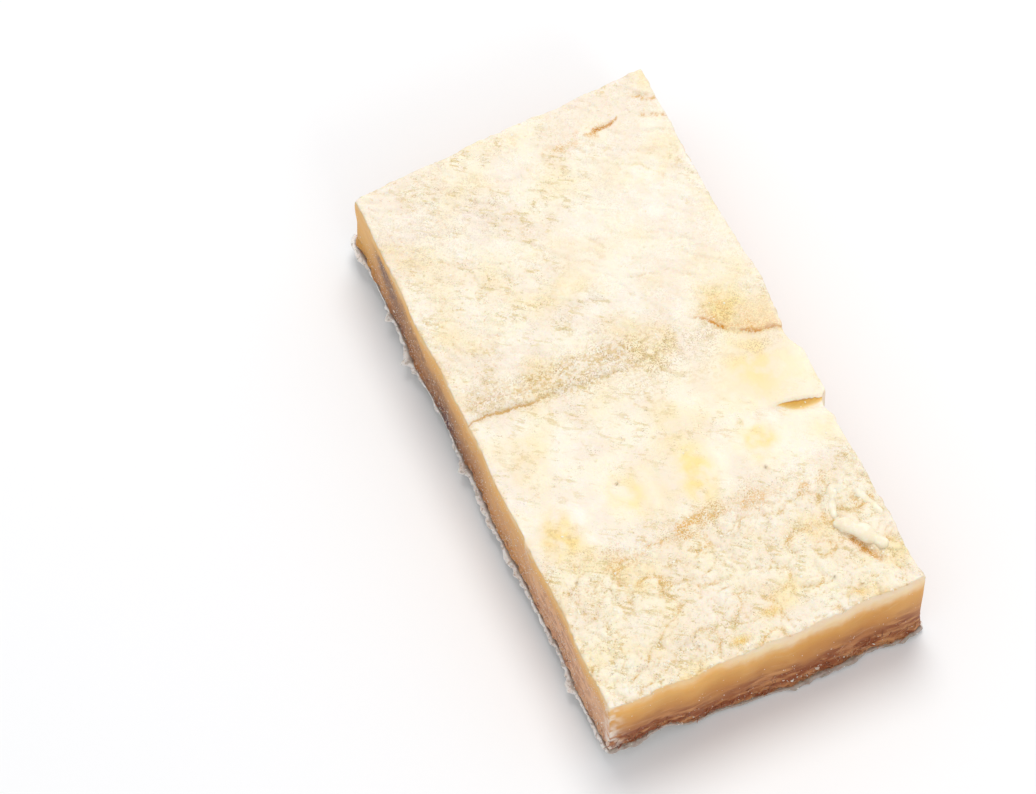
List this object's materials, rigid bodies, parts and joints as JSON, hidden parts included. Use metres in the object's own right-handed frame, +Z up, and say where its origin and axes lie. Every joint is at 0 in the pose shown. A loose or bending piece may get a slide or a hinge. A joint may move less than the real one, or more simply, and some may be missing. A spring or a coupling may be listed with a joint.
{
  "type": "salted dried cod",
  "caption": "Thick sawn portion of salted, dried cod fillet: cream salted face, amber cut sides and frayed grey skin underneath.",
  "frame": {"origin": "centre of the footprint, on the table under the skin", "axes": "+X across the portion, +Y along it to the far end, +Z up out of the salted face"},
  "size_m": [0.1002, 0.1856, 0.0339],
  "materials": {
    "flesh": "dried, salt-crusted cream face over waxy amber sawn sides",
    "skin": "dried scaly fish skin, grey with dark mottling and salt"
  },
  "bodies": {
    "root": {"flesh": "flesh", "skin": "skin"}
  },
  "joints": []
}
